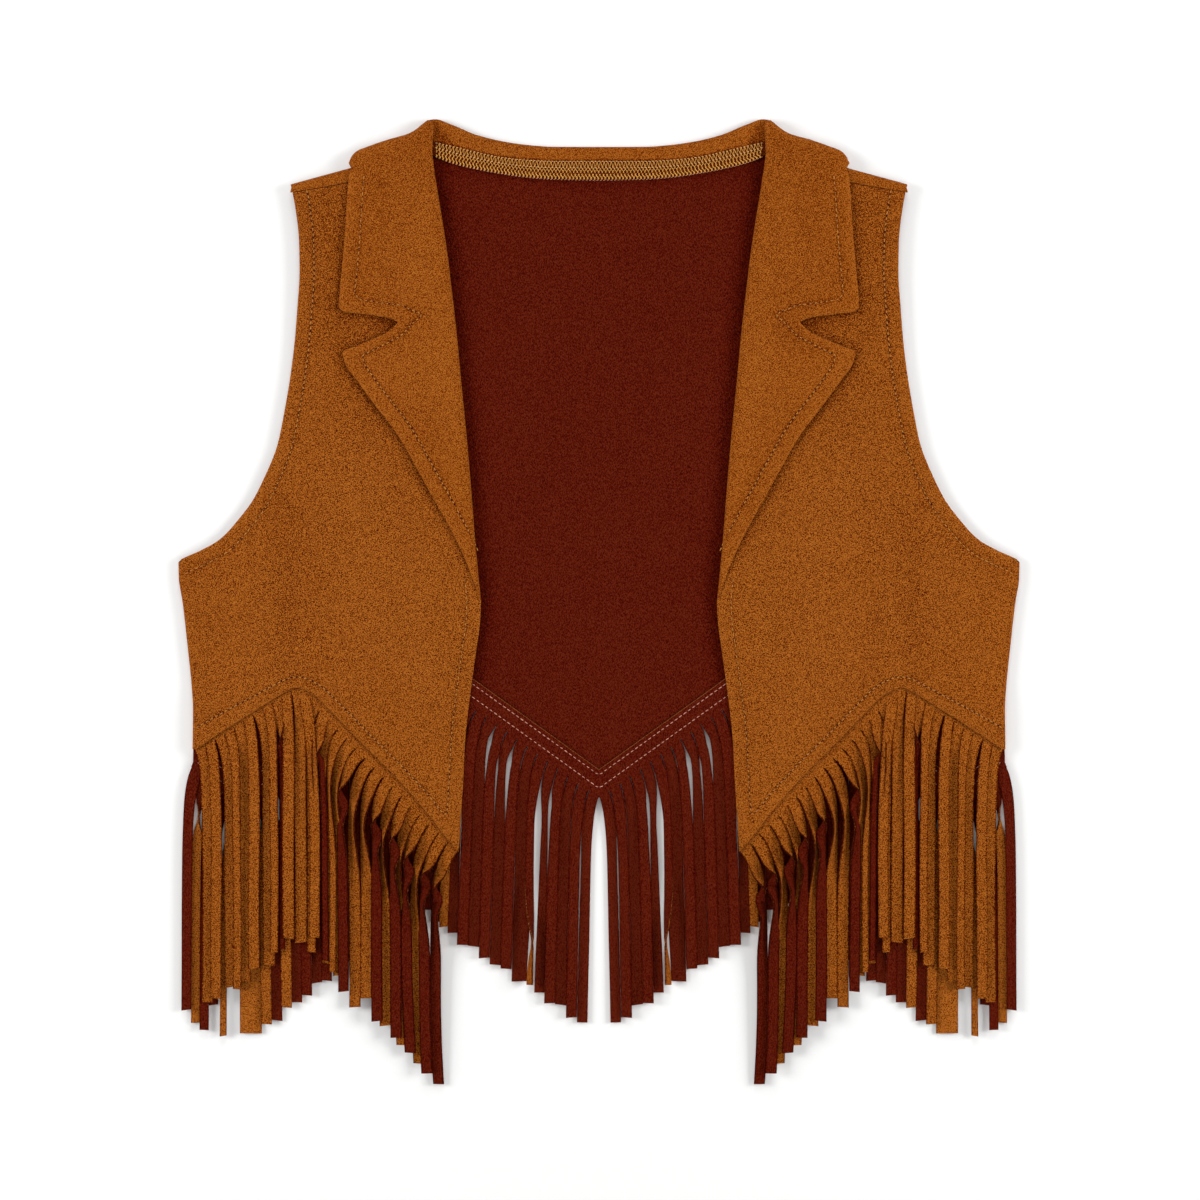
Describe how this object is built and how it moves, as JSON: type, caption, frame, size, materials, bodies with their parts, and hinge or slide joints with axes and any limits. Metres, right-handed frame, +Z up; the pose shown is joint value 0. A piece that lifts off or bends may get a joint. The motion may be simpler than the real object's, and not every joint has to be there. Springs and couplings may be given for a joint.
{
  "type": "western vest",
  "caption": "Open-front western vest with a notched collar, pointed fronts and a long cut fringe, laid flat.",
  "frame": {"origin": "middle of the garment's bounding box, on the surface that it lies on", "axes": "+Y from the hem to the neck, +X to the right in the picture, +Z up from the back panel to the fronts"},
  "size_m": [0.4504, 0.5168, 0.0072],
  "materials": {
    "suede": "brown faux suede, matt with a soft nap",
    "reverse": "dark red-brown reverse of the cloth, matt"
  },
  "bodies": {
    "root": {"back_panel": "reverse", "front_left": "suede", "front_right": "suede", "collar_back": "suede", "lapel_left": "suede", "lapel_right": "suede", "fringe_back": "reverse", "fringe_front_left": "suede", "fringe_front_right": "suede"}
  },
  "joints": []
}
